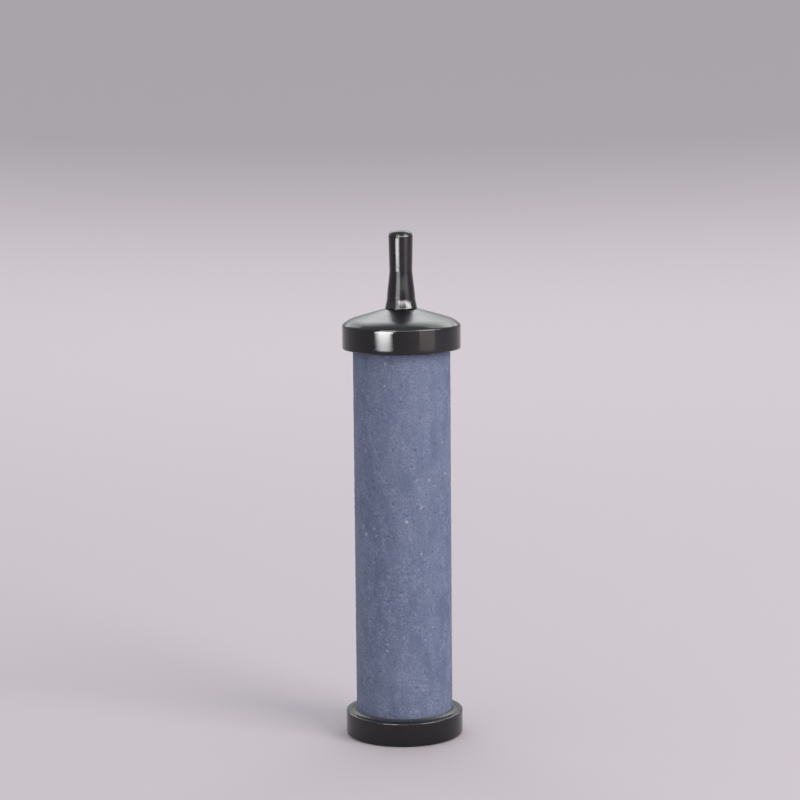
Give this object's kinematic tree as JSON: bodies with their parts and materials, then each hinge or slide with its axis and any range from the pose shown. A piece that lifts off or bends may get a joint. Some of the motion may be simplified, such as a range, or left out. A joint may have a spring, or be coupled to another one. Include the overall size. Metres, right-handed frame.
{
  "type": "aquarium air stone",
  "caption": "Cylindrical blue-grey porous ceramic air stone held between two glossy black caps, with a hose nozzle on the upper cap, for spreading pumped air as fine bubbles in water.",
  "frame": {"origin": "centre of the end cap's flat underside", "axes": "+Z along the stone, from the closed end cap towards the nozzle's tip; the part is turned about +Z, so +X and +Y are free"},
  "size_m": [0.0242, 0.0242, 0.1043],
  "materials": {
    "porous_ceramic": "matte",
    "black_plastic": "gloss",
    "nozzle_plastic": "gloss",
    "adhesive": "satin"
  },
  "bodies": {
    "root": {"ceramic_tube": "porous_ceramic", "inlet_cap": "black_plastic", "hose_nozzle": "nozzle_plastic", "end_cap": "black_plastic", "upper_bond_ring": "adhesive", "lower_bond_ring": "adhesive"}
  },
  "joints": []
}
